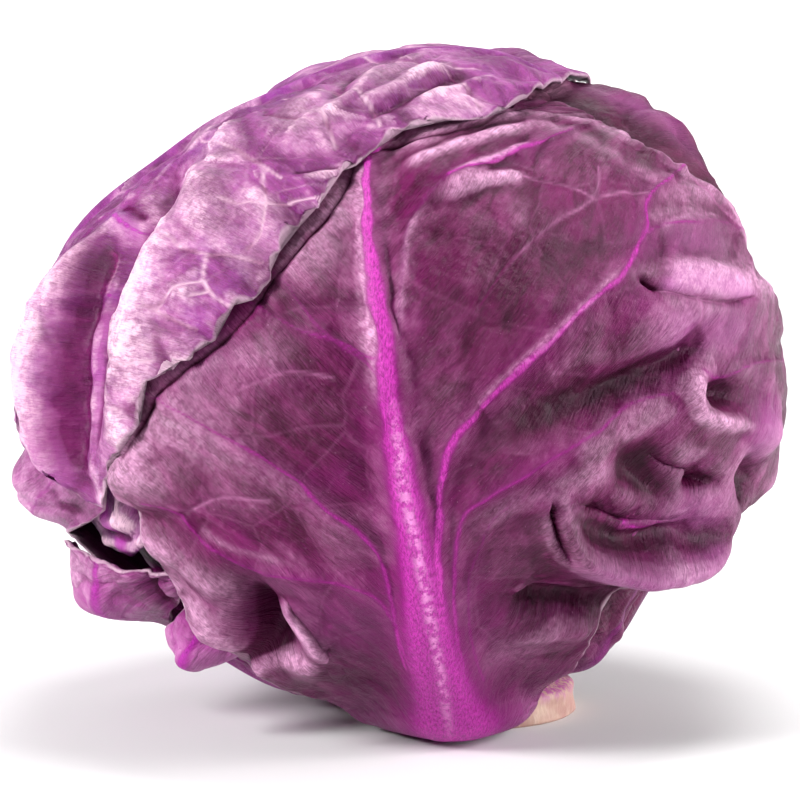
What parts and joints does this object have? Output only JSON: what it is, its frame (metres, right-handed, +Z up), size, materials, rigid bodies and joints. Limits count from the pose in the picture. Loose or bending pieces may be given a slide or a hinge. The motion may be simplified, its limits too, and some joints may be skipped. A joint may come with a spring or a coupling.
{
  "type": "cabbage head",
  "caption": "Whole head of red cabbage: large ribbed, waxy outer leaves wrapped over a dense heart, standing on its flat cut stump.",
  "frame": {"origin": "middle of the stump's flat cut face, on the surface that the head rests on", "axes": "+Z up through the head, -Y towards the leaf with the thick midrib, +X towards that leaf's folded right side"},
  "size_m": [0.1751, 0.1662, 0.151],
  "materials": {
    "leaf_outer": "satin, waxy",
    "leaf_dusty": "satin with a dusty waxy bloom",
    "leaf_bright": "satin, waxy",
    "leaf_dark": "satin, waxy",
    "heart": "satin, waxy",
    "stump": "matte, cut across the fibres"
  },
  "bodies": {
    "root": {"leaf_front": "leaf_outer", "leaf_crown": "leaf_dusty", "leaf_back": "leaf_outer", "leaf_right": "leaf_dark", "leaf_left": "leaf_bright", "leaf_left_fold": "leaf_dusty", "leaf_left_low": "leaf_bright", "leaf_base_left": "leaf_bright", "leaf_base_front": "leaf_dark", "leaf_right_low": "leaf_dark", "inner_head": "heart", "stump": "stump"}
  },
  "joints": []
}
